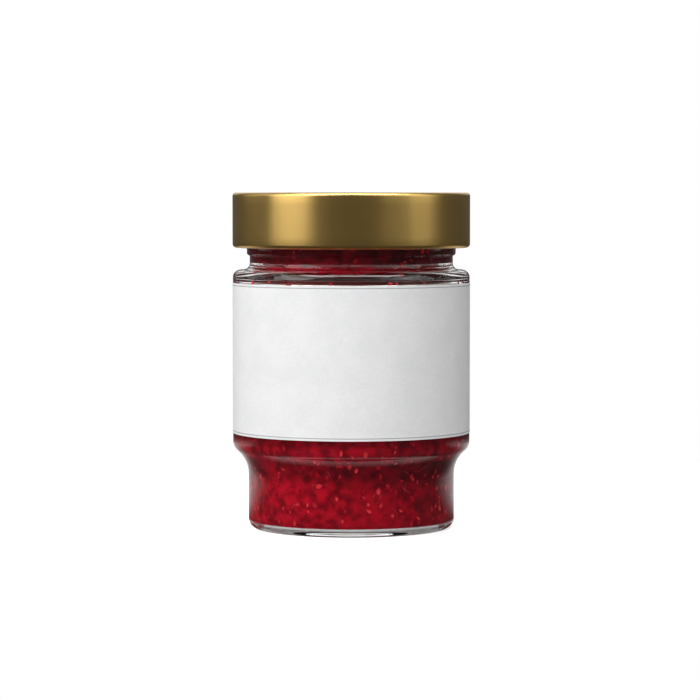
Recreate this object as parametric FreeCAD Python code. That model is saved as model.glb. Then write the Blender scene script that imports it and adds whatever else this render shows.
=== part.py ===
import FreeCAD, Part
import math
import os

# Jam jar with a deep twist-off cap, filled and closed. All sizes are in millimetres.
# The jar stands on z = 0, its axis is Z, and the front of the label faces -Y.
#
# Five pieces: the glass jar, the sheet-metal cap, the sealing compound poured into the cap,
# the paper label glued round the body, and the jam. Each is turned about the axis from an
# outline in (r, z), and the outlines share the values below, so the pieces keep fitting.

# glass: outside
body_radius = 36.9            # straight side that carries the label
foot_inset = 4.8              # how far the foot stands in from the side
foot_height = 21.3            # the foot's side, up to where it meets the taper
taper_angle = 48.6            # slope of the taper, measured from upright, degrees
taper_top_round = 4.0
taper_foot_round = 9.7
heel_round = 3.06             # where the foot turns under
panel_height = 54.8           # straight side, corner to corner
shoulder_slope = 6.0          # fall of the shoulder away from the neck, degrees
shoulder_round = 2.3
neck_round = 2.0              # hollow where the neck rises from the shoulder
neck_height = 4.2             # from the shoulder up to the finish
neck_inset = 0.9              # how far the neck stands in from the finish
neck_top_round = 0.3
finish_radius = 32.55         # plain wall of the finish, the part the cap covers
finish_show = 2.42            # plain wall that shows between the neck and the cap's edge
finish_round = 0.84           # lower edge of the finish
rim_round = 1.0

# glass: inside
side_wall = 2.4
foot_wall = 2.6
shoulder_wall = 3.0
finish_wall = 3.05
base_wall = 2.0               # at the foot of the inner wall
base_crown = 0.6              # rise of the inner floor at the middle
inner_heel_round = 2.5
inner_shelf_round = 3.0
inner_shoulder_round = 3.3
inner_throat_round = 3.0
bearing_width = 3.2           # ring that the jar stands on
push_up = 0.6                 # hollow under the base
push_up_slope = 5.0           # width of the slope that leads up into it
push_up_round = 12.0
bearing_round = 1.5           # inner edge of the bearing ring

# closure: four threads on the glass, four lugs on the cap
lug_count = 4
first_lug = 45.0              # azimuth of the first lug, degrees
thread_depth = 1.75
thread_height = 2.3
thread_nose = 1.1             # height of a thread at its outer edge
thread_rise = 2.0             # how far a thread climbs from rest to entry
thread_park = 26.0            # level stretch in which the lug rests, degrees
thread_climb = 34.0           # sloping stretch, degrees
thread_fade = 7.0             # at each end, where the thread sinks into the wall, degrees
thread_root = 0.6             # bite of a thread into the wall behind it
thread_stations = 24          # sections along a thread
thread_ends = 0.08            # share of its depth that is left at a thread's ends
lug_arc = 20.0                # width of a lug, degrees
lug_thickness = 1.1
lug_lift = 0.1                # lug above the cap's lower edge
lug_nose_round = 0.5
lug_bite = 0.9                # how far a lug's root reaches into the rolled edge
lug_clearance = 0.3           # lug nose to the plain wall of the finish
thread_clearance = 0.3        # cap curl to the threads

# cap
sheet = 0.25
cap_height = 17.07
cap_corner = 1.1
curl_radius = 1.2             # outside of the rolled lower edge
panel_clearance = 0.5         # sunk panel to the bore
panel_drop = 1.1
panel_round = 0.7
step_slope = 0.6              # width of the step that leads down to the panel
button_radius = 11.5          # the middle that a vacuum holds down
button_drop = 0.5
button_slope = 1.6
button_round = 1.5

# sealing compound
seal_thickness = 0.84
seal_overhang = 0.5           # beyond the finish, outwards
seal_round = 0.28

# label
paper = 0.1
label_low_margin = 2.56       # above the taper's rounded edge
label_high_margin = 1.64      # below the shoulder's rounded edge
label_gap = 10.0              # bare strip at the back, between the paper's ends

# jam
headspace = 8.5               # from the jam up to the rim

# what follows from these
foot_radius = body_radius - foot_inset
neck_radius = finish_radius - neck_inset
bore_radius = finish_radius - finish_wall
side_inner = body_radius - side_wall
foot_inner = foot_radius - foot_wall

taper = math.radians(taper_angle)
slope = math.radians(shoulder_slope)
shelf_height = foot_height + foot_inset / math.tan(taper)
shoulder_height = shelf_height + panel_height
neck_foot = shoulder_height + (body_radius - neck_radius) * math.tan(slope)
finish_foot = neck_foot + neck_height
cap_edge = finish_foot + finish_show
cap_top = cap_edge + cap_height
rim_height = cap_top - sheet - seal_thickness
fill_height = rim_height - headspace

curl_inner = finish_radius + thread_depth + thread_clearance
cap_radius = curl_inner + 2 * curl_radius
lug_top = cap_edge + lug_lift + lug_thickness

label_low = shelf_height + taper_top_round * math.tan(taper / 2) + label_low_margin
shoulder_turn = math.pi / 2 - slope
label_high = shoulder_height - shoulder_round * math.tan(shoulder_turn / 2) - label_high_margin

TOUCH = 1e-6                  # points nearer than this are one point


def at(r, z, azimuth=0.0):
    """The point at radius r and height z, in the upright plane at this azimuth in degrees."""
    angle = math.radians(azimuth)
    return FreeCAD.Vector(r * math.cos(angle), r * math.sin(angle), z)


def outline_face(corners):
    """A face in the X-Z plane from (r, z, radius) corners, each rounded by an arc of its radius.

    Where the arcs at the two ends of a side would run into each other, both shrink to share it.
    """
    points = [at(r, z) for r, z, radius in corners]
    count = len(points)
    sides = [points[(i + 1) % count] - points[i] for i in range(count)]
    half_turns = [sides[i - 1].getAngle(sides[i]) / 2 for i in range(count)]
    reaches = [corners[i][2] * math.tan(half_turns[i]) for i in range(count)]
    shares = []
    for i, side in enumerate(sides):
        wanted = reaches[i] + reaches[(i + 1) % count]
        shares.append(side.Length / max(side.Length, wanted))
    arcs = []
    for i, point in enumerate(points):
        reach = reaches[i] * min(shares[i - 1], shares[i])
        into = FreeCAD.Vector(sides[i - 1]).normalize()
        out = FreeCAD.Vector(sides[i]).normalize()
        if reach < TOUCH:
            arcs.append((point, point, point))
            continue
        bulge = reach / math.sin(half_turns[i]) - reach / math.tan(half_turns[i])
        middle = point + (out - into).normalize() * bulge
        arcs.append((point - into * reach, middle, point + out * reach))
    edges = []
    for i, (start, middle, end) in enumerate(arcs):
        if start.distanceToPoint(end) > TOUCH:
            edges.append(Part.Arc(start, middle, end).toShape())
        following = arcs[(i + 1) % count][0]
        if end.distanceToPoint(following) > TOUCH:
            edges.append(Part.LineSegment(end, following).toShape())
    return Part.Face(Part.Wire(edges))


def turned(corners, from_azimuth=0.0, sweep=360.0):
    """The solid that an outline of corners sweeps as it turns about the Z axis."""
    face = outline_face(corners)
    face.rotate(FreeCAD.Vector(), FreeCAD.Vector(0, 0, 1), from_azimuth)
    return face.revolve(FreeCAD.Vector(), FreeCAD.Vector(0, 0, 1), sweep)


def sheet_strip(path, thickness):
    """Corners of a bent sheet: the (r, z, radius) path of one side, and back along the other.

    The second side lies to the right of the path. A bend towards it gets a smaller radius
    there, and a bend away from it a larger one, so the sheet keeps its thickness.
    """
    points = [at(r, z) for r, z, radius in path]
    back = []
    for i, (r, z, radius) in enumerate(path):
        before = points[max(i - 1, 0)]
        after = points[min(i + 1, len(points) - 1)]
        into = (points[i] - before) if i > 0 else (after - points[i])
        out = (after - points[i]) if i < len(points) - 1 else into
        into.normalize()
        out.normalize()
        right_in = FreeCAD.Vector(into.z, 0, -into.x)
        right_out = FreeCAD.Vector(out.z, 0, -out.x)
        bisector = (right_in + right_out).normalize()
        mitre = thickness / bisector.dot(right_in)
        point = points[i] + bisector * mitre
        turns_right = into.z * out.x - into.x * out.z > 0
        inner_radius = max(radius - thickness, 0.0) if turns_right else radius + thickness
        back.append((point.x, point.z, inner_radius if radius > 0 else 0.0))
    return list(path) + back[::-1]


def inner_wall():
    """Corners of the jar's inner wall, from the middle of its floor up to the foot of the bore."""
    offset = side_wall * math.sin(taper) + (side_wall * math.cos(taper) - side_wall) / math.tan(taper)
    shelf = shelf_height + offset
    foot = shelf - (side_inner - foot_inner) / math.tan(taper)
    drop = shoulder_wall / math.cos(slope)
    shoulder = shoulder_height + (body_radius - side_inner) * math.tan(slope) - drop
    throat = shoulder_height + (body_radius - bore_radius) * math.tan(slope) - drop
    return [
        (0, base_wall + base_crown, 0),
        (foot_inner, base_wall, inner_heel_round),
        (foot_inner, foot, taper_foot_round + side_wall),
        (side_inner, shelf, inner_shelf_round),
        (side_inner, shoulder, inner_shoulder_round),
        (bore_radius, throat, inner_throat_round),
    ]


def thread_section(azimuth, depth, rise):
    """Outline of a thread at one azimuth: level underneath, sloping on top, rooted in the wall."""
    root = finish_radius - thread_root
    nose = finish_radius + depth
    low = lug_top + rise
    corners = [
        at(root, low, azimuth),
        at(nose, low, azimuth),
        at(nose, low + thread_nose, azimuth),
        at(root, low + thread_height, azimuth),
    ]
    return Part.makePolygon(corners + corners[:1])


def thread(azimuth):
    """One thread, level where the lug rests at this azimuth and climbing to where it enters.

    The cap closes clockwise seen from above, so the thread climbs the other way round.
    """
    def eased(share):
        share = min(max(share, 0.0), 1.0)
        return (1 - math.cos(math.pi * share)) / 2

    begin = -thread_park / 2 - thread_fade
    end = thread_park / 2 + thread_climb + thread_fade
    sections = []
    for station in range(thread_stations + 1):
        turn = begin + (end - begin) * station / thread_stations
        fade = eased(min(turn - begin, end - turn) / thread_fade)
        rise = thread_rise * eased((turn - thread_park / 2) / (thread_climb + thread_fade))
        depth = thread_depth * (thread_ends + (1 - thread_ends) * fade)
        sections.append(thread_section(azimuth + turn, depth, rise))
    return Part.makeLoft(sections, True, True)


def lug_azimuths():
    """Where the lugs sit round the cap, evenly spaced."""
    return [first_lug + 360.0 / lug_count * i for i in range(lug_count)]


def glass_jar():
    """The jar in one piece of glass, with its four threads."""
    bearing_outer = foot_radius - heel_round
    bearing_inner = bearing_outer - bearing_width
    outside = [
        (0, push_up, 0),
        (bearing_inner - push_up_slope, push_up, push_up_round),
        (bearing_inner, 0, bearing_round),
        (foot_radius, 0, heel_round),
        (foot_radius, foot_height, taper_foot_round),
        (body_radius, shelf_height, taper_top_round),
        (body_radius, shoulder_height, shoulder_round),
        (neck_radius, neck_foot, neck_round),
        (neck_radius, finish_foot, neck_top_round),
        (finish_radius, finish_foot, min(finish_round, neck_inset)),
        (finish_radius, rim_height, rim_round),
        (bore_radius, rim_height, rim_round),
    ]
    jar = turned(outside + inner_wall()[::-1])
    for azimuth in lug_azimuths():
        jar = jar.fuse(thread(azimuth))
    return jar


def cap():
    """The cap, pressed from one sheet: sunk panel, rounded rim, skirt, rolled edge and lugs."""
    panel_radius = bore_radius - panel_clearance - step_slope
    panel_top = cap_top - panel_drop
    path = [
        (0, panel_top - button_drop, 0),
        (button_radius - button_slope, panel_top - button_drop, button_round),
        (button_radius, panel_top, button_round),
        (panel_radius - sheet, panel_top, panel_round),
        (panel_radius + step_slope - sheet, cap_top, panel_round),
        (cap_radius, cap_top, cap_corner),
        (cap_radius, cap_edge, curl_radius),
        (curl_inner, cap_edge, curl_radius),
        (curl_inner, cap_edge + 2 * curl_radius, curl_radius),
        (curl_inner + curl_radius, cap_edge + 2 * curl_radius, 0),
    ]
    shell = turned(sheet_strip(path, sheet))
    lug_nose = finish_radius + lug_clearance
    lug_root = curl_inner + lug_bite
    lug_low = cap_edge + lug_lift
    lug_outline = [
        (lug_nose, lug_low, lug_nose_round),
        (lug_root, lug_low, 0),
        (lug_root, lug_top, 0),
        (lug_nose, lug_top, lug_nose_round),
    ]
    for azimuth in lug_azimuths():
        shell = shell.fuse(turned(lug_outline, azimuth - lug_arc / 2, lug_arc))
    return shell


def seal():
    """The ring of compound that fills the cap's channel over the rim of the jar."""
    outer = finish_radius + seal_overhang
    top = rim_height + seal_thickness
    return turned([
        (bore_radius, rim_height, seal_round),
        (outer, rim_height, seal_round),
        (outer, top, 0),
        (bore_radius, top, 0),
    ])


def label():
    """The paper round the straight side, open in a narrow strip at the back."""
    half_gap = math.degrees(label_gap / 2 / body_radius)
    return turned([
        (body_radius, label_low, 0),
        (body_radius + paper, label_low, 0),
        (body_radius + paper, label_high, 0),
        (body_radius, label_high, 0),
    ], 90 + half_gap, 360 - 2 * half_gap)


def jam():
    """The filling, set against the inner wall up to its level."""
    return turned(inner_wall() + [(bore_radius, fill_height, 0), (0, fill_height, 0)])


os.makedirs("parts", exist_ok=True)
for node, make in (
    ("glass_jar", glass_jar),
    ("cap", cap),
    ("cap_seal", seal),
    ("label", label),
    ("jam", jam),
):
    shape = make()
    solids = shape.Solids
    print(f"{node}: {len(solids)} solid, {shape.Volume / 1000:.2f} ml, valid {shape.isValid()}")
    solids[0].exportStep(f"parts/{node}.step")
print(f"height {cap_top:.2f}, cap diameter {2 * cap_radius:.2f}, label {label_low:.2f} to {label_high:.2f}")
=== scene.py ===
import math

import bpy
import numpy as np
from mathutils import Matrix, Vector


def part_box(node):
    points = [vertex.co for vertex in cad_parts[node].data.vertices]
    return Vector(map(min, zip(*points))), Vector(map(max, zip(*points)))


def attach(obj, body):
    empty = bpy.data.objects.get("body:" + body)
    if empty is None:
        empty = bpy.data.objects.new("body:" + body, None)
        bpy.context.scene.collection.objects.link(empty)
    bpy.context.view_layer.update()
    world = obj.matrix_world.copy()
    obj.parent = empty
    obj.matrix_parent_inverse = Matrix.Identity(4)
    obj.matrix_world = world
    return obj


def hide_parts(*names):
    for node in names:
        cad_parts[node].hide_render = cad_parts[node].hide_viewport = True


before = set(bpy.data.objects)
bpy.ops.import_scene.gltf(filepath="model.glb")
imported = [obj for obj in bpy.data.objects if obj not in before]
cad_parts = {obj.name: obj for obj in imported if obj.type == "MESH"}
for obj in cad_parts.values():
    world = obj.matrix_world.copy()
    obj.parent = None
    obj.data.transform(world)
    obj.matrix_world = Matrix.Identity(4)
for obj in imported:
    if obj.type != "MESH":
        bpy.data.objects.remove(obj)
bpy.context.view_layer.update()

# %% [markdown]
# # A jar of jam with a gold twist-off cap
#
# A jar of jam is five things, one inside the other: a pressed metal cap, a ring of sealing
# compound, a glass jar, a paper label and the jam itself. All but the label are round, so the
# natural way to make them is the way a potter would: draw half of the outline and turn it
# about the upright axis. The solids that a designer drew are loaded from model.glb, and
# everything here is fitted to their boxes.

# %% [markdown]
# ## The sizes that all pieces share
#
# The heights and widths come from the boxes of the solids. What a box can't tell, such as how
# round a corner is or how thick the glass, is named here in millimetres, and `MM` turns it
# into metres. Keeping them in one place means that the jam always fits the glass.

# %% Sizes taken from the boxes, and the sizes a box can't tell
MM = 0.001

_, jar_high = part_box("glass_jar")
cap_low, cap_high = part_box("cap")
label_low, label_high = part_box("label")
_, jam_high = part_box("jam")

BODY = jar_high[0]                       # radius of the jar's straight side
RIM = jar_high[2]                        # height of the glass rim
BORE = BODY - 7.4 * MM                   # radius of the mouth
FINISH = BORE + 3.05 * MM                # radius of the plain wall that the cap covers
NECK = FINISH - 0.9 * MM                 # radius of the groove under it
FOOT = BODY - 4.8 * MM                   # radius of the foot
SIDE_INNER = jam_high[0]                 # inner radius of the straight side
FOOT_INNER = FOOT - 2.6 * MM             # inner radius of the foot
TAPER = math.radians(48.6)               # slope of the taper over the foot, from upright
FOOT_TOP = 21.3 * MM                     # height where the taper starts
BASE = 2.0 * MM                          # thickness of the base at its edge
PUSH_UP = 0.6 * MM                       # rise of the base in its middle
SHELF = FOOT_TOP + (BODY - FOOT) / math.tan(TAPER)      # where it reaches the straight side
SHOULDER = SHELF + 54.8 * MM             # height of the straight side's upper end
SLOPE = math.radians(6.0)                # fall of the shoulder
NECK_LOW = SHOULDER + (BODY - NECK) * math.tan(SLOPE)   # bottom of the groove
NECK_TOP = NECK_LOW + 4.2 * MM           # top of the groove
FILL = jam_high[2]                       # level of the jam
THREAD_LOW = cap_low[2] + 1.2 * MM       # under side of the threads, where the lugs hook in
LUG_AZIMUTH = 45                         # the first of four lugs, in degrees from the right
print(f"body {BODY / MM:.2f}, bore {BORE / MM:.2f}, rim {RIM / MM:.2f}, jam to {FILL / MM:.2f} mm")

# %% [markdown]
# ## Outlines with rounded corners
#
# Glass is blown and metal is pressed, so neither has a sharp corner. An outline is written as
# its corners, each with the radius that rounds it, and a helper puts an arc in each corner and
# points along the straight stretches. Close points on the arcs are what makes glass refract
# smoothly, because the render bends light by the surface's direction.

# %% From corners to a smooth outline
ARC_STEP = math.radians(7)               # turn from one point of an arc to the next
SAME_POINT = 1e-7                        # points this close are one point


def rounded(corners, spacing):
    """Points (r, z) along an outline of (r, z, radius) corners.

    At each corner the two sides are cut back by radius * tan(half the turn), and an arc that
    touches both takes the corner's place. On straight stretches no two points are further
    apart than `spacing`.
    """
    points = np.array([c[:2] for c in corners], float)
    pieces = [points[:1]]
    for i in range(1, len(corners) - 1):
        into = points[i] - points[i - 1]
        out = points[i + 1] - points[i]
        into /= np.linalg.norm(into)
        out /= np.linalg.norm(out)
        turn = math.atan2(into[0] * out[1] - into[1] * out[0], into @ out)
        reach = corners[i][2] * math.tan(abs(turn) / 2)
        side = np.array([-into[1], into[0]]) * math.copysign(1, turn)
        start = points[i] - into * reach
        centre = start + side * corners[i][2]
        count = max(int(abs(turn) / ARC_STEP), 2) if corners[i][2] > 0 else 0
        angles = np.linspace(0, turn, count + 1)[:, None]
        spoke = start - centre
        swung = np.array([-spoke[1], spoke[0]])
        pieces.append(centre + np.cos(angles) * spoke + np.sin(angles) * swung)
    pieces.append(points[-1:])
    line = [pieces[0]]
    for piece in pieces[1:]:
        gap = piece[0] - line[-1][-1]
        count = int(np.linalg.norm(gap) / spacing)
        shares = np.arange(1, count + 1)[:, None] / (count + 1)
        line.append(line[-1][-1] + gap * shares)
        line.append(piece)
    outline = np.vstack(line)
    step = np.linalg.norm(np.diff(outline, axis=0), axis=1)
    return outline[np.concatenate([[True], step > SAME_POINT])]


# %% [markdown]
# ## Turning an outline into a surface
#
# A turned surface is a grid: one parameter runs along the outline, the other round the axis.
# Worked out as whole arrays it takes milliseconds, and unlike Blender's Spin it leaves a clean
# grid, closed where it meets itself. A tube is the same kind of grid, closed round its section.
# So one function makes a piece of any number of tubes, and a jar is simply one wide tube.

# %% Arrays made into a mesh, tubes joined in one piece, and an outline turned round the axis
AROUND = 256                             # points round the axis


def mesh_piece(name, points, quads, uv=None):
    """An object at the origin from arrays of points and quads, smooth shaded.

    Points in the same place become one. A quad at a pole then holds a corner twice, and loses
    one of the two to become a triangle. `uv` has one pair for each corner of each quad.
    """
    keys = np.round(points / SAME_POINT).astype(np.int64)
    _, first, merged = np.unique(keys, axis=0, return_index=True, return_inverse=True)
    quads = merged.ravel()[quads]
    doubled = quads == np.roll(quads, -1, axis=1)
    keep = doubled.sum(1) < 2
    quads, doubled = quads[keep], doubled[keep]
    corners = ~doubled
    sizes = corners.sum(1)
    mesh = bpy.data.meshes.new(name)
    mesh.vertices.add(len(first))
    mesh.vertices.foreach_set("co", points[first].ravel())
    mesh.loops.add(int(sizes.sum()))
    mesh.loops.foreach_set("vertex_index", quads[corners])
    mesh.polygons.add(len(quads))
    mesh.polygons.foreach_set("loop_start", np.concatenate([[0], np.cumsum(sizes)[:-1]]))
    mesh.polygons.foreach_set("use_smooth", np.ones(len(quads), bool))
    if uv is not None:
        layer = mesh.uv_layers.new(name="along_the_surface")
        layer.data.foreach_set("uv", uv[keep][corners].ravel())
    mesh.update(calc_edges=True)
    mesh.validate()
    piece = bpy.data.objects.new(name, mesh)
    bpy.context.scene.collection.objects.link(piece)
    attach(piece, "root")
    print(f"{name}: {len(first)} points, {len(quads)} faces")
    return piece


def tubes(name, grids, values=None):
    """One piece of many tubes, from an array of points (tube, station, round, 3).

    Each cell between two stations is a quad, and the last cell of a round leads back to its
    first point. `values` (tube, station, round, 2) becomes the UV map.
    """
    count, stations, around = grids.shape[:3]
    index = np.arange(count * stations * around).reshape(count, stations, around)
    index = np.concatenate([index, index[:, :, :1]], 2)
    low, high = index[:, :-1], index[:, 1:]
    quads = np.stack([low[..., :-1], low[..., 1:], high[..., 1:], high[..., :-1]], -1).reshape(-1, 4)
    uv = None if values is None else values.reshape(-1, 2)[quads]
    return mesh_piece(name, grids.reshape(-1, 3), quads, uv)


def turned(name, outline, wave=None):
    """The surface of the outline (r, z) turned about Z: x = r cos a, y = r sin a.

    `wave(a, r, z)` may add to the radius, as uneven glass does. It fades towards the axis as
    (r / bore)^4, because at a pole it would have nowhere to go.
    """
    angles = np.linspace(0, 2 * np.pi, AROUND, endpoint=False)
    r, a = np.meshgrid(outline[:, 0], angles, indexing="ij")
    z = np.repeat(outline[:, 1:], AROUND, axis=1)
    if wave is not None:
        r = r + wave(a, r, z) * np.clip(r / BORE, 0, 1) ** 4
    return tubes(name, np.stack([r * np.cos(a), r * np.sin(a), z], -1)[None])


# %% [markdown]
# ## The glass jar
#
# The jar is blown in a mould, so its outside is exact and its inside follows loosely: the wall
# swells and thins a little. That unevenness is what makes real glass look alive, because it
# bends the light differently from place to place. The outside gets a hundredth of it.
# The outline runs from the middle of the push-up under the base, out and up over the rim, and
# back down inside to the middle of the floor, so the piece is closed like the real jar. The four
# threads are no separate pieces: they swell out of the finish, so they are added to its radius.

# %% The jar's outline and surface
def inner_corners(reach=0.0):
    """Corners of the inner wall from its floor up to the bore, moved into the glass by `reach`."""
    side = 2.4 * MM                      # thickness of the wall at the straight side
    shelf = SHELF + side * math.sin(TAPER) + side * (math.cos(TAPER) - 1) / math.tan(TAPER)
    foot = shelf - (SIDE_INNER - FOOT_INNER) / math.tan(TAPER)
    drop = 3.0 * MM / math.cos(SLOPE)
    shoulder = SHOULDER + (BODY - SIDE_INNER) * math.tan(SLOPE) - drop
    throat = SHOULDER + (BODY - BORE) * math.tan(SLOPE) - drop
    return [
        (0, BASE + PUSH_UP - reach, 0),
        (FOOT_INNER + reach, BASE - reach, 2.5 * MM + reach),
        (FOOT_INNER + reach, foot - 0.4 * reach, 12.1 * MM - reach),
        (SIDE_INNER + reach, shelf - 0.4 * reach, 3.0 * MM + reach),
        (SIDE_INNER + reach, shoulder + reach, 3.3 * MM + reach),
        (BORE + reach, throat + reach, 3.0 * MM - reach),
    ]


def blown(angle, r, z):
    """How far the inner wall strays: three slow waves round and up, at most 0.07 mm in all."""
    return 0.03 * MM * (
        np.sin(2 * angle + 90 * z + 0.4)
        + 0.7 * np.sin(3 * angle - 160 * z + 2.1)
        + 0.5 * np.sin(5 * angle + 310 * z + 4.0)
    )


HEEL = 3.06 * MM                         # radius of the corner on which the foot ends
BEARING = FOOT - HEEL                    # outer radius of the ring that the jar stands on
outer_corners = [
    (0, PUSH_UP, 0),
    (BEARING - 8.2 * MM, PUSH_UP, 12.0 * MM),
    (BEARING - 3.2 * MM, 0, 1.5 * MM),
    (FOOT, 0, HEEL),
    (FOOT, FOOT_TOP, 9.7 * MM),
    (BODY, SHELF, 4.0 * MM),
    (BODY, SHOULDER, 2.3 * MM),
    (NECK, NECK_LOW, 2.0 * MM),
    (NECK, NECK_TOP, 0.3 * MM),
    (FINISH, NECK_TOP, 0.84 * MM),
    (FINISH, THREAD_LOW - 0.3 * MM, 0),
]
threaded = np.arange(THREAD_LOW, THREAD_LOW + 5.0 * MM, 0.25 * MM)
threaded = np.stack([np.full(len(threaded), FINISH), threaded], -1)
lip = [
    (FINISH, THREAD_LOW + 5.2 * MM, 0),
    (FINISH, RIM, 1.0 * MM),
    (BORE, RIM, 1.0 * MM),
    (BORE, FILL, 0),
]
outside = np.vstack([rounded(outer_corners, 2.5 * MM), threaded, rounded(lip, 2.5 * MM)])
inside = rounded([(BORE, FILL, 0)] + inner_corners()[::-1], 2.5 * MM)


def eased(share):
    """An S-curve from 0 to 1: half of 1 - cos(pi * share)."""
    return 0.5 - 0.5 * np.cos(np.pi * np.clip(share, 0, 1))


THREAD_LEAD = 20                         # degrees from a thread's start to its lug
THREAD_TAIL = 54                         # degrees from its lug to its end
THREAD_LEVEL = 13                        # degrees past the lug where it starts to climb
THREAD_CLIMB = 2.0 * MM
THREAD_DEPTH = 1.75 * MM
THREAD_NOSE = 1.1 * MM                   # height of the steep side


def thread(angle, z):
    """How far the four threads stand out of the finish.

    Along its length a thread swells over 7 degrees, is level over the lug and then climbs. Its
    section is flat below and slopes back over the nose: height = the smaller of the depth and
    that slope.
    """
    turn = (np.degrees(angle) - LUG_AZIMUTH + THREAD_LEAD) % 90 - THREAD_LEAD
    swell = eased(np.minimum(turn + THREAD_LEAD, THREAD_TAIL - turn) / 7)
    depth = THREAD_DEPTH * (0.08 + 0.92 * swell)
    climb = THREAD_CLIMB * eased((turn - THREAD_LEVEL) / (THREAD_TAIL - THREAD_LEVEL))
    up = z - THREAD_LOW - climb
    slope = depth - (up - THREAD_NOSE) * (depth + 0.6 * MM) / (1.2 * MM)
    return np.where((turn < THREAD_TAIL) & (up >= 0), np.clip(slope, 0, depth), 0)


def glass_wave(angle, r, z):
    """The blown wave inside; outside, the threads and a hundredth of the wave."""
    is_inner = np.arange(len(r))[:, None] >= len(outside)
    is_threaded = np.isclose(r, FINISH) & ~is_inner
    return blown(angle, r, z) * np.where(is_inner, 1.0, 0.01) + thread(angle, z) * is_threaded


jar = turned("jar_glass", np.vstack([outside, inside[1:]]), glass_wave)
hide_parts("glass_jar")

# %% [markdown]
# ## The cap
#
# The cap is one disc of tinplate, drawn into a cup and rolled under at the edge. Its outline is
# a strip: the outer line and, a sheet's thickness inside it, the inner line. The top is sunk to
# a panel with a button in the middle that the vacuum holds down. Turning the whole strip gives
# a real sheet with two sides, so the rolled edge catches the light as a thin line.

# %% The cap's outline, turned
SHEET = 0.25 * MM                        # thickness of the tinplate
CAP = cap_high[0]                        # radius of the cap
CAP_TOP = cap_high[2]
CAP_EDGE = cap_low[2]
CURL = 1.2 * MM                          # radius of the rolled edge
PANEL = BORE - 1.1 * MM                  # radius of the sunk panel, which fits in the mouth


def strip(path, thickness):
    """The path's (r, z, radius) corners, and back along a second line to its right.

    Each corner of the second line lies on the corner's bisector, thickness / cos(half turn)
    away, and its radius is smaller on the inside of a bend and larger on the outside.
    """
    points = np.array([p[:2] for p in path], float)
    runs = np.diff(points, axis=0)
    runs /= np.linalg.norm(runs, axis=1)[:, None]
    into = np.vstack([runs[:1], runs])
    out = np.vstack([runs, runs[-1:]])
    right_in = np.stack([into[:, 1], -into[:, 0]], -1)
    right_out = np.stack([out[:, 1], -out[:, 0]], -1)
    bisector = right_in + right_out
    bisector /= np.linalg.norm(bisector, axis=1)[:, None]
    away = thickness / (bisector * right_in).sum(1)
    second = points + bisector * away[:, None]
    turns_right = into[:, 0] * out[:, 1] - into[:, 1] * out[:, 0] < 0
    radii = np.array([p[2] for p in path])
    change = np.where(turns_right, -thickness, thickness) * (radii > 0)
    back = [(r, z, radius) for (r, z), radius in zip(second, np.maximum(radii + change, 0))]
    return list(path) + back[::-1]


panel_top = CAP_TOP - 1.1 * MM
button = panel_top - 0.5 * MM
cap_path = [
    (0, button, 0),
    (9.9 * MM, button, 1.5 * MM),
    (11.5 * MM, panel_top, 1.5 * MM),
    (PANEL - SHEET, panel_top, 0.7 * MM),
    (PANEL + 0.6 * MM - SHEET, CAP_TOP, 0.7 * MM),
    (CAP, CAP_TOP, 1.1 * MM),
    (CAP, CAP_EDGE, CURL),
    (CAP - 2 * CURL, CAP_EDGE, CURL),
    (CAP - 2 * CURL, CAP_EDGE + 2 * CURL, CURL),
    (CAP - CURL, CAP_EDGE + 2 * CURL, 0),
]
cap_outline = rounded(strip(cap_path, SHEET), 2.5 * MM)[::-1]
cap_shell = turned("cap_shell", cap_outline)
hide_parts("cap")

# %% [markdown]
# ## The lugs under the cap
#
# At four places the rolled edge is squeezed flat towards the glass. These lugs hook under four
# short threads, and they are all that holds the cap. Each is a rounded bar along a short arc:
# a closed section carried round the axis through twenty degrees, and drawn in at its ends.

# %% Four lugs in one piece
LUG_REACH = math.radians(10)             # half the arc that a lug spans
LUG_GAP = 0.3 * MM                       # least room between a lug and the finish


def lugs(azimuths):
    """Closed oval sections carried along arcs: (r, z) = centre + size * (cos, sin).

    The size falls to nothing at the ends as the square root of 1 - share^8, which gives blunt
    rounded ends. The azimuths are one more dimension of the array.
    """
    share = np.linspace(-1, 1, 33)[None, :, None]
    turn = np.linspace(2 * np.pi, 0, 24, endpoint=False)[None, None, :]
    swell = np.sqrt(1 - share**8)
    r = (FINISH + LUG_GAP + CAP - CURL) / 2 + 1.35 * MM * swell * np.cos(turn)
    z = CAP_EDGE + 0.65 * MM + 0.55 * MM * swell * np.sin(turn)
    a = np.radians(azimuths)[:, None, None] + LUG_REACH * share
    r, z, a = np.broadcast_arrays(r, z, a)
    return np.stack([r * np.cos(a), r * np.sin(a), z], -1)


cap_lugs = tubes("cap_lugs", lugs(LUG_AZIMUTH + 90 * np.arange(4)))

# %% [markdown]
# ## The paper label
#
# The label is a strip of uncoated paper, wrapped round the straight side and left open at the
# back, where a strip of jam shows. A sheet this thin is a bent box: an outer and an inner face
# and four narrow edges. Its UV map runs in metres along and up the paper, so that the fibres
# and the printed rules follow the paper and not the space around it.

# %% The label as a thin bent box
LABEL = BODY + 0.1 * MM                  # radius of the outer face
LABEL_BACK = BODY + 0.01 * MM            # radius of the inner face, just clear of the glass
LABEL_LOW = label_low[2]
LABEL_TOP = label_high[2]
HALF_GAP = 5.0 * MM / BODY               # half of the bare strip at the back, as an angle
UP_PAPER = 24                            # points up each face of the paper
ALONG_PAPER = 300                        # points along it

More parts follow.
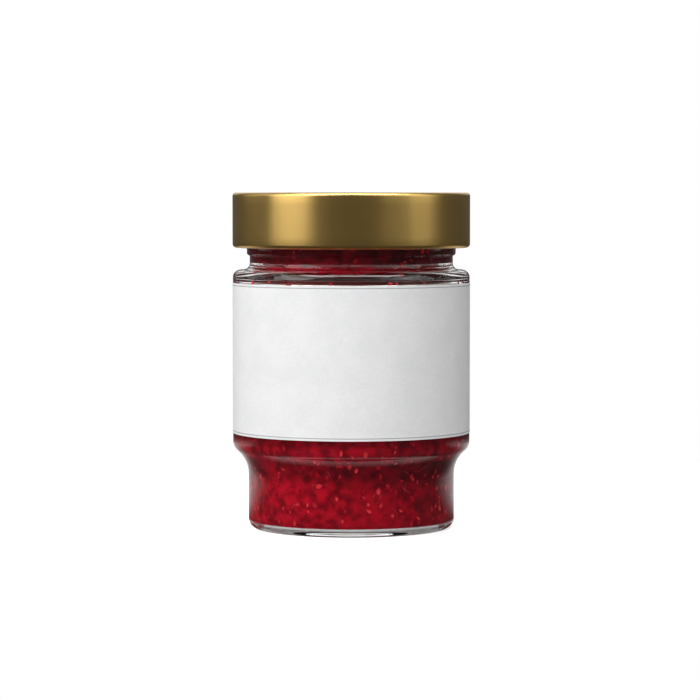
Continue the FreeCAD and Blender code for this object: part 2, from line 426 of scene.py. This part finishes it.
heights = np.linspace(LABEL_LOW, LABEL_TOP, UP_PAPER)
section_r = np.repeat([LABEL, LABEL_BACK], UP_PAPER)
section_z = np.concatenate([heights, heights[::-1]])
wrap = np.linspace(np.pi / 2 + HALF_GAP, np.pi * 2.5 - HALF_GAP, ALONG_PAPER)
r, a = np.meshgrid(section_r, wrap, indexing="ij")
z = np.repeat(section_z[:, None], ALONG_PAPER, 1)
paper_points = np.stack([r * np.cos(a), r * np.sin(a), z], -1).reshape(-1, 3)

# %% Its faces: the skin round the section, and the two upright edges at the back
index = np.arange(len(paper_points)).reshape(-1, ALONG_PAPER)
looped = np.vstack([index, index[:1]])
skin = np.stack([looped[:-1, :-1], looped[:-1, 1:], looped[1:, 1:], looped[1:, :-1]], -1)
outer = np.arange(UP_PAPER - 1)
inner = 2 * UP_PAPER - 1 - outer         # the point of the inner face behind each outer one
start, end = index[:, 0], index[:, -1]
start_edge = np.stack([start[outer], start[outer + 1], start[inner - 1], start[inner]], -1)
end_edge = np.stack([end[outer], end[inner], end[inner - 1], end[outer + 1]], -1)
paper_quads = np.vstack([skin.reshape(-1, 4), start_edge, end_edge])
run = ((a - wrap[0]) * LABEL).ravel()
rise = (z - LABEL_LOW).ravel()
paper_uv = np.stack([run[paper_quads], rise[paper_quads]], -1)
label = mesh_piece("label_paper", paper_points, paper_quads, paper_uv)
label.data.set_sharp_from_angle(angle=math.radians(40))
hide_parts("label")
print(f"paper {run.max() / MM:.1f} by {(LABEL_TOP - LABEL_LOW) / MM:.1f} mm when flat")

# %% [markdown]
# ## The jam
#
# Jam fills the jar, so its surface is the jar's inner wall, moved a little way into the glass. If
# it stopped at the wall or just short of it, a bright film of air would show all round. In two
# places it does stop short, over the base and under the shoulder, because the clear band at the
# base and the grey band at the shoulder look as if a thin film mirrored light there. That is a
# guess. Elsewhere the jam follows every swell of the glass, so it takes the same wave.

# %% The body of the jam
REACH = 0.2 * MM                         # how far its surface lies in the glass
BASE_FILM = 0.15 * MM                    # gap over the base
SHOULDER_FILM = 0.3 * MM                 # gap under the shoulder
jam_corners = inner_corners(REACH)
jam_corners[0] = (0, BASE + PUSH_UP + BASE_FILM, 0)
jam_corners[1] = (FOOT_INNER + REACH, BASE + BASE_FILM, 2.5 * MM)
under = jam_corners[4][1] - REACH - SHOULDER_FILM
jam_corners[4] = (SIDE_INNER + REACH, under, 3.3 * MM)
under = jam_corners[5][1] - REACH - SHOULDER_FILM
jam_corners[5] = (BORE - SHOULDER_FILM, under, 3.0 * MM)
jam_corners += [
    (BORE - SHOULDER_FILM, NECK_LOW + 1.2 * MM, 0.5 * MM),
    (BORE + REACH, NECK_LOW + 2.4 * MM, 0.5 * MM),
    (BORE + REACH, FILL, 0.6 * MM),
    (0, FILL, 0),
]
jam = turned("jam_body", rounded(jam_corners, 1.5 * MM), blown)
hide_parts("jam")

# %% [markdown]
# ## Seeds
#
# Berries leave their seeds in the jam: pale drops, one to three millimetres long, of which only
# those that lie against the glass can be seen. Each is a drop-shaped body sunk into the jam's
# surface, most of them more upright than flat, as filling leaves them. They differ only in size,
# turn and place, so all are worked out at once, with one more dimension in the array.

# %% Places on the jam's side, and the seeds
chance = np.random.default_rng(11)
side_line = rounded(jam_corners, 0.5 * MM)
side_line = side_line[(side_line[:, 1] > BASE + 1.5 * MM) & (side_line[:, 1] < FILL - 2 * MM)]
side_length = np.concatenate([[0], np.cumsum(np.linalg.norm(np.diff(side_line, axis=0), axis=1))])


def scatter(count):
    """Random places on the jam's side: point, directions round, up along and out of it.

    The share of the outline's length picks r and z. Round is (-sin a, cos a, 0), along is the
    outline's own direction, and out is the cross product of the two. At the outline's very end,
    with nothing ahead, along is upright.
    """
    at = chance.uniform(0, side_length[-1], count)
    a = chance.uniform(0, 2 * np.pi, count)
    r = np.interp(at, side_length, side_line[:, 0])
    z = np.interp(at, side_length, side_line[:, 1])
    ahead = at + 0.5 * MM
    dr = np.interp(ahead, side_length, side_line[:, 0]) - r
    dz = np.interp(ahead, side_length, side_line[:, 1]) - z
    size = np.maximum(np.hypot(dr, dz), 1e-9)
    dr, dz = dr / size, np.where(size > 1e-8, dz / size, 1)
    point = np.stack([r * np.cos(a), r * np.sin(a), z], -1)
    about = np.stack([-np.sin(a), np.cos(a), 0 * a], -1)
    along = np.stack([dr * np.cos(a), dr * np.sin(a), dz], -1)
    return point, about, along, np.cross(about, along)


SEED_THICK = 0.3 * MM                    # half the thickness of a seed


def drops(count):
    """Teardrops: along t they swell as sin(pi t^0.75), which leaves one end thinner.

    Across, x = width * swell * cos and height = thickness * swell * sin. The values that go with
    the points are how far out of the jam they lie, from 0 to 1, and one random number for each
    seed.
    """
    point, about, along, out = scatter(count)
    length = chance.uniform(1.3, 2.9, count) * MM
    width = length * chance.uniform(0.18, 0.34, count)
    lean = chance.normal(np.pi / 2, 0.7, count)
    axis = np.cos(lean)[:, None] * about + np.sin(lean)[:, None] * along
    across = np.cross(out, axis)
    t = np.linspace(0, 1, 9)[None, :, None, None]
    turn = np.linspace(0, 2 * np.pi, 12, endpoint=False)[None, None, :, None]
    swell = np.sin(np.pi * t**0.75)
    sideways = width[:, None, None, None] * swell * np.cos(turn)
    height = SEED_THICK * swell * np.sin(turn)
    reach = (t - 0.5) * length[:, None, None, None]
    grids = point[:, None, None] + reach * axis[:, None, None]
    grids = grids + sideways * across[:, None, None] + height * out[:, None, None]
    bare = np.clip(height[..., 0] / SEED_THICK, 0, 1) + 0 * reach[..., 0]
    tone = np.broadcast_to(chance.uniform(0, 1, count)[:, None, None], bare.shape)
    return grids, np.stack([bare, tone], -1)


seeds = tubes("jam_seeds", *drops(900))

# %% [markdown]
# ## Fibres
#
# Between the seeds lie threads of crushed fruit, less than two tenths of a millimetre thick. Each
# follows a shallow wave along the wall, so it is a thin tube swept along a sine, and its ends run
# out to a point.

# %% The fibres
FIBRE_THICK = 0.09 * MM                  # half the thickness of a fibre
FIBRE_RISE = 0.04 * MM                   # how far its middle lies out of the jam


def threads_of_pulp(count):
    """Tubes along x = length * t, y = bend * sin(pi t + phase).

    Their thickness goes as the square root of sin(pi t), which is nothing at both ends.
    """
    point, about, along, out = scatter(count)
    length = chance.uniform(1.5, 4.5, count)[:, None, None, None] * MM
    bend = chance.uniform(-0.7, 0.7, count)[:, None, None, None] * MM
    phase = chance.uniform(0, 3, count)[:, None, None, None]
    lean = chance.normal(np.pi / 2, 0.6, count)
    axis = (np.cos(lean)[:, None] * about + np.sin(lean)[:, None] * along)[:, None, None]
    across = np.cross(out[:, None, None], axis)
    t = np.linspace(0, 1, 14)[None, :, None, None]
    turn = np.linspace(0, 2 * np.pi, 6, endpoint=False)[None, None, :, None]
    thick = FIBRE_THICK * np.sqrt(np.abs(np.sin(np.pi * t)))
    sideways = bend * np.sin(np.pi * t + phase) + thick * np.cos(turn)
    height = thick * np.sin(turn) + FIBRE_RISE
    grids = point[:, None, None] + (t - 0.5) * length * axis
    grids = grids + sideways * across + height * out[:, None, None]
    bare = np.clip(height[..., 0] / (FIBRE_THICK + FIBRE_RISE), 0, 1) + 0 * length[..., 0]
    tone = np.broadcast_to(chance.uniform(0, 1, count)[:, None, None], bare.shape)
    return grids, np.stack([bare, tone], -1)


fibres_of_fruit = tubes("jam_fibres", *threads_of_pulp(420))

# %% [markdown]
# ## Writing a finish
#
# A finish is a chain of small sums: a noise here, a mask there. Written node by node it is
# unreadable, so one small class wraps a socket and lets `a * b + 1` add the Math nodes, and
# one method adds every other node.

# %% A socket that can be used in sums, and a finish that collects nodes
class Wire:
    """A socket in a node tree. Arithmetic with it adds Math nodes."""

    def __init__(self, finish, socket):
        self.finish = finish
        self.socket = socket

    def math(self, operation, first, second):
        """Adds one Math node, and gives its output."""
        return self.finish.node("ShaderNodeMath", {"operation": operation}, {0: first, 1: second})[0]

    def __add__(self, other):
        return self.math("ADD", self, other)

    def __radd__(self, other):
        return self.math("ADD", other, self)

    def __sub__(self, other):
        return self.math("SUBTRACT", self, other)

    def __rsub__(self, other):
        return self.math("SUBTRACT", other, self)

    def __mul__(self, other):
        return self.math("MULTIPLY", self, other)

    def __rmul__(self, other):
        return self.math("MULTIPLY", other, self)

    def __pow__(self, other):
        return self.math("POWER", self, other)

    def __rpow__(self, other):
        return self.math("POWER", other, self)


class Node:
    """A node whose outputs are read by name or number, as wires."""

    def __init__(self, finish, node):
        self.finish = finish
        self.made = node

    def __getitem__(self, name):
        return Wire(self.finish, self.made.outputs[name])


class Finish:
    """A material, or the world given as its target, and the nodes that are added to it."""

    def __init__(self, name, target=None):
        self.material = target or bpy.data.materials.new(name)
        self.material.use_nodes = True
        self.tree = self.material.node_tree
        self.tree.nodes.clear()

    def node(self, kind, settings=None, inputs=None):
        """Adds one node: first its settings, then the values or wires of its sockets."""
        made = self.tree.nodes.new(kind)
        for name, value in (settings or {}).items():
            setattr(made, name, value)
        for name, value in (inputs or {}).items():
            if isinstance(value, Node):
                value = value[0]
            if isinstance(value, Wire):
                self.tree.links.new(value.socket, made.inputs[name])
            elif isinstance(value, tuple) and made.inputs[name].type == "RGBA":
                made.inputs[name].default_value = (*value, 1)
            else:
                made.inputs[name].default_value = value
        return Node(self, made)

    def blend(self, factor, first, second):
        """A colour that goes from the first to the second as the factor goes from 0 to 1."""
        sockets = {0: factor, 6: first, 7: second}
        return self.node("ShaderNodeMix", {"data_type": "RGBA"}, sockets)[2]

    def smooth(self, value, low, high):
        """0 below low, 1 above high, and an S-curve in between."""
        settings = {"interpolation_type": "SMOOTHSTEP"}
        return self.node("ShaderNodeMapRange", settings, {"Value": value, 1: low, 2: high})[0]

    def bump(self, height, distance, strength=1.0, normal=None):
        """A direction for the surface, tilted as if it had this relief."""
        inputs = {"Height": height, "Distance": distance, "Strength": strength}
        if normal is not None:
            inputs["Normal"] = normal
        return self.node("ShaderNodeBump", None, inputs)["Normal"]

    def surface(self, shader):
        """Sends the shader to the material's output."""
        self.node("ShaderNodeOutputMaterial", None, {"Surface": shader})

    def put_on(self, *pieces):
        """Gives this finish, and no other, to the pieces."""
        for piece in pieces:
            piece.data.materials.clear()
            piece.data.materials.append(self.material)
            print(f"{self.material.name}, {len(self.tree.nodes)} nodes, on {piece.name}")


# %% [markdown]
# ## Glass
#
# Clear soda glass has a refractive index of 1.52 and dims light very little. A renderer finds lamps
# by sending rays straight at them, and glass would stop those rays and leave the jam in the
# dark. So for such shadow rays, and only those, the glass is a plain transparent sheet.

# %% The glass finish
GLASS_IOR = 1.52
glass = Finish("clear_glass")
place = glass.node("ShaderNodeTexCoord")["Object"]
ripple = glass.node("ShaderNodeTexNoise", None, {"Vector": place, "Scale": 60.0, "Detail": 1.0})
clear = glass.node("ShaderNodeBsdfPrincipled", None, {
    "Base Color": (0.985, 0.995, 0.99),
    "Roughness": 0.0,
    "IOR": GLASS_IOR,
    "Transmission Weight": 1.0,
    "Normal": glass.bump(ripple[0], 0.05 * MM, 0.6),
})
open_to_lamps = glass.node("ShaderNodeBsdfTransparent", None, {"Color": (0.96, 0.97, 0.965)})
is_shadow = glass.node("ShaderNodeLightPath")["Is Shadow Ray"]
glass.surface(glass.node("ShaderNodeMixShader", None, {0: is_shadow, 1: clear, 2: open_to_lamps}))
glass.put_on(jar)

# %% [markdown]
# ## Gold lacquer on tinplate
#
# The cap is not gold but steel under a clear yellow lacquer. It behaves as a satin metal: the
# lamps show as soft upright bands. The rolled sheet leaves a faint grain, drawing the cup draws
# shallow streaks up its side, and the lacquer is a little uneven in colour and gloss. The gloss
# never goes below a roughness of 0.275: the denoiser takes anything smoother for a mirror, and
# where a noise crosses that limit it leaves specks.

# %% The cap's finish
gold = Finish("gold_lacquer")
place = gold.node("ShaderNodeTexCoord")["Object"]
squeeze = gold.node("ShaderNodeMapping", None, {"Vector": place, "Scale": (220.0, 220.0, 2600.0)})
grain = gold.node("ShaderNodeTexNoise", None, {"Vector": squeeze, "Scale": 1.0, "Detail": 3.0})
cloud = gold.node("ShaderNodeTexNoise", None, {"Vector": place, "Scale": 90.0, "Detail": 2.0})
gold_colour = gold.blend(cloud[0], (0.74, 0.487, 0.148), (0.82, 0.54, 0.17))
upright = gold.node("ShaderNodeMapping", None, {"Vector": place, "Scale": (330.0, 330.0, 12.0)})
streaks = gold.node("ShaderNodeTexNoise", None, {"Vector": upright, "Scale": 1.0, "Detail": 1.0})
fine = gold.bump(grain[0], 0.004 * MM, 0.5)
metal = gold.node("ShaderNodeBsdfPrincipled", None, {
    "Base Color": gold_colour,
    "Metallic": 1.0,
    "Roughness": 0.275 + 0.03 * cloud[0],
    "Normal": gold.bump(streaks[0], 0.05 * MM, 0.7, fine),
})
gold.surface(metal)
gold.put_on(cap_shell, cap_lugs)

# %% [markdown]
# ## Sealing compound
#
# The compound is a pale rubbery ring under the cap's rim, poured in wet and cured, so it is
# matt and very slightly pitted. It can't be seen while the cap is on, but it is there.

# %% The ring keeps the solid's shape and gets a finish
compound = Finish("sealing_compound")
place = compound.node("ShaderNodeTexCoord")["Object"]
pits = compound.node("ShaderNodeTexNoise", None, {"Vector": place, "Scale": 900.0, "Detail": 2.0})
rubber = compound.node("ShaderNodeBsdfPrincipled", None, {
    "Base Color": compound.blend(pits[0], (0.72, 0.70, 0.62), (0.80, 0.78, 0.70)),
    "Roughness": 0.55,
    "Normal": compound.bump(pits[0], 0.02 * MM, 0.5),
})
compound.surface(rubber)
compound.put_on(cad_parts["cap_seal"])

# %% [markdown]
# ## Paper
#
# Uncoated paper is fine felt: short fibres lying every way. Two noises stretched along and
# across give the felt, and a soft cloud makes it a shade lighter or darker from place to place.
# A hairline is printed near the upper and the lower edge, and the rest of the paper is bare.

# %% The label's finish
paper = Finish("label_stock")
flat = paper.node("ShaderNodeUVMap", {"uv_map": "along_the_surface"})["UV"]
up = paper.node("ShaderNodeSeparateXYZ", None, {0: flat})["Y"]
felt = []
for scale in ((2400.0, 450.0, 1.0), (450.0, 2400.0, 1.0)):
    stretched = paper.node("ShaderNodeMapping", None, {"Vector": flat, "Scale": scale})
    felt.append(paper.node("ShaderNodeTexNoise", None, {"Vector": stretched, "Scale": 1.0})[0])
fibres = felt[0] * 0.5 + felt[1] * 0.5
mottle = paper.node("ShaderNodeTexNoise", None, {"Vector": flat, "Scale": 120.0, "Detail": 4.0})[0]
weave = paper.smooth(mottle * 0.4 + fibres * 0.6, 0.32, 0.68)
stock = paper.blend(weave, (0.805, 0.81, 0.82), (0.885, 0.885, 0.885))
HEIGHT = LABEL_TOP - LABEL_LOW
INSET = 0.75 * MM                        # from the paper's edge to the middle of a rule
HALF_LINE = 0.13 * MM                    # half the thickness of a rule


def rule_at(height):
    """1 on a thin line at this height of the paper, 0 elsewhere."""
    off = paper.node("ShaderNodeMath", {"operation": "ABSOLUTE"}, {0: up - height})[0]
    return 1.0 - paper.smooth(off, HALF_LINE * 0.6, HALF_LINE * 1.4)


rules = rule_at(INSET) + rule_at(HEIGHT - INSET)
printed = paper.blend(rules * 0.75, stock, (0.28, 0.28, 0.29))
sheet = paper.node("ShaderNodeBsdfPrincipled", None, {
    "Base Color": printed,
    "Roughness": 0.85,
    "Specular IOR Level": 0.25,
    "Normal": paper.bump(fibres, 0.02 * MM, 0.35),
})
paper.surface(sheet)
paper.put_on(label)

# %% [markdown]
# ## Jam
#
# The gel is deep crimson and lets light some way in, so shadows inside it are soft and red:
# that is subsurface scattering, with red travelling about seven times as far as green or blue.
# Sugar makes the gel almost as dense as glass, so light crosses from one to the other without
# a glint, except when it skims the wall: then the wall mirrors it. That is what a Fresnel node
# with the ratio of the two refractive indices says.

# %% The colour of the gel: crushed fruit, large and small
gel = Finish("berry_gel")
place = gel.node("ShaderNodeTexCoord")["Object"]
pulp = gel.node("ShaderNodeTexNoise", None, {"Vector": place, "Scale": 340.0, "Detail": 5.0})[0]
depth = gel.node("ShaderNodeTexNoise", None, {"Vector": place, "Scale": 90.0, "Detail": 2.0})[0]
mixed = gel.smooth(pulp * 0.65 + depth * 0.35, 0.34, 0.66)
crimson = gel.blend(mixed, (0.13, 0.0010, 0.005), (0.45, 0.0039, 0.017))

# %% [markdown]
# A slow sine across the jar makes one side deeper: painted shade for the side away from the key
# lamp, which an opaque gel shows too weakly. Less light gets in under the overhang of the taper
# and behind the cap, and an opaque gel can't show that by itself, so both zones are painted
# darker by their height.

# %% Painted shade: its darker side, and the dark zones under the taper and the cap
axes = gel.node("ShaderNodeSeparateXYZ", None, {0: place})
# painted shade: a slow sine across the jar darkens one side
side_shade_slant = 45.0 * axes["X"] + 20.0 * axes["Y"] + 0.55
painted_side_shade = gel.node("ShaderNodeMath", {"operation": "SINE"}, {0: side_shade_slant})[0]
crimson = gel.blend(painted_side_shade * 0.34 + 0.2, crimson, (0.03, 0.0002, 0.001))
height = axes["Z"]
# painted shade under the overhang of the taper and behind the cap, by height
under_taper = gel.smooth(height, FOOT_TOP - 7.5 * MM, FOOT_TOP - 2.5 * MM)
under_taper = under_taper - gel.smooth(height, FOOT_TOP + 1.0 * MM, FOOT_TOP + 3.5 * MM)
under_cap = gel.smooth(height, NECK_LOW, NECK_LOW + 3.0 * MM)
shade = under_taper * (0.55 + 0.2 * painted_side_shade) + under_cap * 0.45
crimson = gel.blend(shade * (1.2 - depth * 0.5), crimson, (0.02, 0.0002, 0.001))

# %% The shader of the gel
GEL_IOR = 1.44
mass = gel.node("ShaderNodeBsdfPrincipled", None, {
    "Base Color": crimson,
    "Roughness": 0.5,
    "Specular IOR Level": 0.0,
    "Subsurface Weight": 0.6,
    "Subsurface Radius": (1.0, 0.12, 0.15),
    "Subsurface Scale": 2.0 * MM,
})
skim = gel.node("ShaderNodeFresnel", None, {"IOR": GEL_IOR / GLASS_IOR})[0]
mirror = gel.node("ShaderNodeBsdfGlossy", None, {"Color": (1.0, 1.0, 1.0), "Roughness": 0.0})
gel.surface(gel.node("ShaderNodeMixShader", None, {0: skim, 1: mass, 2: mirror}))
gel.put_on(jam)

# %% [markdown]
# ## Seeds and fibres, seen through a skin of gel
#
# A seed is the colour of straw, but always lies under some gel, so it looks orange-red, and its
# edges fade into the jam. How bare a spot lies is the first number of the piece's UV map, and
# the second is one random number for each seed, which makes some deep and some close.

# %% The finishes of the fruit's solid parts
def under_gel(name, deep, shallow):
    """Jam colour where the piece is covered; between deep and shallow where it lies bare."""
    fruit = Finish(name)
    flat = fruit.node("ShaderNodeUVMap", {"uv_map": "along_the_surface"})["UV"]
    parts = fruit.node("ShaderNodeSeparateXYZ", None, {0: flat})
    tone = fruit.smooth(parts["Y"], 0.1, 1.1) ** 1.6
    colour = fruit.blend(tone, deep, shallow)
    edge = fruit.smooth(parts["X"], 0.05, 0.95)
    seen = fruit.blend(edge, (0.20, 0.002, 0.009), colour)
    body = fruit.node("ShaderNodeBsdfPrincipled", None, {
        "Base Color": seen,
        "Roughness": 0.6,
        "Specular IOR Level": 0.0,
        "Subsurface Weight": 0.4,
        "Subsurface Radius": (1.0, 0.12, 0.15),
        "Subsurface Scale": 1.0 * MM,
    })
    fruit.surface(body)
    return fruit


under_gel("seed_in_gel", (0.30, 0.003, 0.013), (0.68, 0.040, 0.048)).put_on(seeds)
under_gel("fibre_in_gel", (0.24, 0.006, 0.012), (0.46, 0.055, 0.060)).put_on(fibres_of_fruit)

# %% [markdown]
# ## The table and the room
#
# The jar stands on a white table in a white room. A satin cap and clear glass show the room they
# stand in, and in an all white room they would be pale and flat. So a studio puts up black and
# white cards, which the camera doesn't see. Here a Light Path node does their work: a part of the
# room can have one brightness where it is looked at, one where it is seen through glass, one
# where it is mirrored, and one for the light that it scatters on the jar.

# %% A flat card, and a finish that shows one strength to each kind of ray
def card(name, corners):
    """A flat stage piece with four corners."""
    mesh = bpy.data.meshes.new(name)
    mesh.from_pydata(corners, [], [(0, 1, 2, 3)])
    piece = bpy.data.objects.new(name, mesh)
    bpy.context.scene.collection.objects.link(piece)
    return piece


def by_ray(finish, seen, through, mirrored, scattered):
    """A brightness for each kind of ray: each times its Light Path output, added up.

    The kinds are looked at, seen through glass, mirrored, and the rest, which scatters light. A
    ray that comes straight out of glass counts as mirrored too, so it gets
    through + mirrored - scattered.
    """
    path = finish.node("ShaderNodeLightPath")
    parts = (
        seen * path["Is Camera Ray"]
        + through * path["Is Transmission Ray"]
        + mirrored * path["Is Glossy Ray"]
    )
    rest = 1.0 - path["Is Camera Ray"] - path["Is Transmission Ray"] - path["Is Glossy Ray"]
    return parts + scattered * rest


ROOM_THROUGH = 0.30
ROOM_MIRRORED = 0.10
ROOM_SCATTERED = 0.06

# %% [markdown]
# Near the jar the table is matt and takes its shadow, and a glow of its own keeps it almost
# white. Under the foot, where little light gets in, it glows less. Further off it is plain white.

# %% The table as it is looked at: white, with the jar's shadow
HALF_TABLE = 3.0
table = card("table", [
    (-HALF_TABLE, -HALF_TABLE, 0),
    (HALF_TABLE, -HALF_TABLE, 0),
    (HALF_TABLE, HALF_TABLE, 0),
    (-HALF_TABLE, HALF_TABLE, 0),
])
white = Finish("white_table")
where = white.node("ShaderNodeTexCoord")["Object"]
away = white.node("ShaderNodeVectorMath", {"operation": "LENGTH"}, {0: where})["Value"]
uncovered = white.smooth(away, FOOT - 3.5 * MM, FOOT + 1.0 * MM)
near_glow = white.node("ShaderNodeEmission", None, {"Color": 0.25 + 0.53 * uncovered})
near_matt = white.node("ShaderNodeBsdfDiffuse", None, {"Color": (0.8, 0.8, 0.8)})
near = white.node("ShaderNodeAddShader", None, {0: near_glow, 1: near_matt})
endless = white.node("ShaderNodeEmission", None, {"Strength": 1.0})
far = white.smooth(away, 0.10, 0.28)
looked_at = white.node("ShaderNodeMixShader", None, {0: far, 1: near, 2: endless})

# %% [markdown]
# Glass and metal mirror another table: dark in front, so that the gel keeps its depth; white a
# hand's breadth behind the jar, for the rim of light along the glass; and white in a narrow ring
# round the foot, for the thin bright line on the taper above it.

# %% The table as it is mirrored, and as it lights the jar
behind = white.node("ShaderNodeSeparateXYZ", None, {0: where})["Y"]
back_card = white.smooth(behind, 0.01, 0.10) * (1.0 - white.smooth(away, 0.22, 0.34))
ring = 1.0 - white.smooth(away, BODY - 2.0 * MM, BODY + 8.0 * MM)
ring = ring * white.smooth(away, FOOT + 1.0 * MM, FOOT + 3.0 * MM)
mirrored = white.node("ShaderNodeEmission", None, {"Color": 0.06 + 0.6 * back_card + 0.7 * ring})
matt = white.node("ShaderNodeBsdfDiffuse", None, {"Color": (0.5, 0.5, 0.5)})
path = white.node("ShaderNodeLightPath")
unseen = white.node("ShaderNodeMixShader", None, {0: path["Is Glossy Ray"], 1: matt, 2: mirrored})
seen = path["Is Camera Ray"] + path["Is Transmission Ray"]
white.surface(white.node("ShaderNodeMixShader", None, {0: seen, 1: unseen, 2: looked_at}))
white.put_on(table)

# %% [markdown]
# The backdrop stands on the table, behind the jar. In mirrors its lower part is dark, and its
# upper part is light: that part shows in the cap's top edge, on the shoulder and in the middle
# of the base. Past both lies the room, which is evenly dim. Rays that happen to meet it are
# enough, so it isn't sampled as a lamp.

# %% The backdrop behind the jar
HALF_CLOTH = 0.85
CLOTH_Y = 1.6
CLOTH_TOP = 1.6
backdrop = card("backdrop", [
    (-HALF_CLOTH, CLOTH_Y, 0),
    (HALF_CLOTH, CLOTH_Y, 0),
    (HALF_CLOTH, CLOTH_Y, CLOTH_TOP),
    (-HALF_CLOTH, CLOTH_Y, CLOTH_TOP),
])
cloth = Finish("white_backdrop")
hang = cloth.node("ShaderNodeSeparateXYZ", None, {0: cloth.node("ShaderNodeTexCoord")["Object"]})["Z"]
upper = ROOM_MIRRORED + 0.65 * cloth.smooth(hang, 0.2, 0.5)
cloth_light = by_ray(cloth, 1.0, 1.0, upper, ROOM_SCATTERED)
cloth.surface(cloth.node("ShaderNodeEmission", None, {"Color": cloth_light}))
cloth.put_on(backdrop)

# %% The room
world = bpy.data.worlds.new("room")
bpy.context.scene.world = world
room = Finish("room", world)
strength = by_ray(room, 1.0, ROOM_THROUGH, ROOM_MIRRORED, ROOM_SCATTERED)
air = room.node("ShaderNodeBackground", None, {"Color": strength})
room.node("ShaderNodeOutputWorld", None, {"Surface": air})
world.cycles.sampling_method = "NONE"
light_paths = bpy.context.scene.cycles
light_paths.max_bounces = 24
light_paths.glossy_bounces = 16
light_paths.transmission_bounces = 16

# %% [markdown]
# ## The lamps
#
# The lamps are big soft boxes. A tall one on the left and a weaker one on the right draw the two
# bright bands on the cap, and two faint ones beside them soften the bands' edges. One high over
# the front shows only in reflections, as the bright line along the cap's top edge. One above the
# camera, a little to its left, isn't mirrored at all: it only lights the label and the jam.

# %% The soft boxes
AIM_HEIGHT = (CAP_TOP + LABEL_TOP) / 2


def soft_box(name, azimuth, elevation, distance, width, height, radiance, mirrored=True, lights=True):
    """An area lamp that looks at the jar. Azimuth 0 is the camera's side, and + is to the right.

    A lamp of this radiance and area gives radiance * pi * area watts. `mirrored` says whether
    metal and glass show it, and `lights` whether it lights what is matt.
    """
    lamp = bpy.data.lights.new(name, "AREA")
    lamp.shape = "RECTANGLE"
    lamp.size = width
    lamp.size_y = height
    lamp.energy = radiance * math.pi * width * height
    box = bpy.data.objects.new(name, lamp)
    a, e = math.radians(azimuth), math.radians(elevation)
    aim = np.array([math.sin(a) * math.cos(e), -math.cos(a) * math.cos(e), math.sin(e)])
    box.location = aim * distance + np.array([0, 0, AIM_HEIGHT])
    box.rotation_euler = (math.pi / 2 - e, 0, a)
    box.visible_glossy = mirrored
    box.visible_camera = False
    box.visible_transmission = mirrored
    box.visible_diffuse = lights
    bpy.context.scene.collection.objects.link(box)
    print(f"{name}: {lamp.energy:.1f} W")


soft_box("key_left", -60, 36, 1.0, 0.80, 1.4, 2.08)
soft_box("fill_right", 71, 36, 1.0, 0.60, 1.4, 1.00)
soft_box("right_spill", 42, 30, 1.2, 0.60, 1.2, 0.46)
soft_box("left_spill", -110, 30, 1.2, 0.60, 1.2, 0.46)
soft_box("top_front", 0, 74, 0.9, 1.1, 0.6, 5.5, lights=False)
soft_box("front_fill", -15, 45, 1.6, 1.2, 1.0, 4.3, mirrored=False)

# %% [markdown]
# ## The camera
#
# A long lens from about a metre away, level with the cap's top and tilted down by three
# degrees, sees the cap edge on and the base from just above.

# %% The camera
camera_data = bpy.data.cameras.new("camera")
camera_data.lens = 153.5
camera_data.sensor_width = 36.0
camera = bpy.data.objects.new("camera", camera_data)
camera.location = (-0.4 * MM, -931 * MM, CAP_TOP + 1.4 * MM)
camera.rotation_euler = (math.radians(90 - 3.105), 0, 0)
bpy.context.scene.collection.objects.link(camera)
bpy.context.scene.camera = camera
bpy.context.scene.view_settings.view_transform = "Standard"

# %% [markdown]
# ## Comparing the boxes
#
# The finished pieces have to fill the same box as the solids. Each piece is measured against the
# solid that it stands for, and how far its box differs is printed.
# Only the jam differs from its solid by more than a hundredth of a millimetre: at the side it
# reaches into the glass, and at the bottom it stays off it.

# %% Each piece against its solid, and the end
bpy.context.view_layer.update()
for piece, node in ((jar, "glass_jar"), (cap_shell, "cap"), (label, "label"), (jam, "jam")):
    corners = np.array(piece.bound_box)
    past = np.stack([corners.min(0), corners.max(0)]) - np.array(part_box(node))
    print(f"{piece.name} against {node}, mm:", np.round(past / MM, 2).tolist())
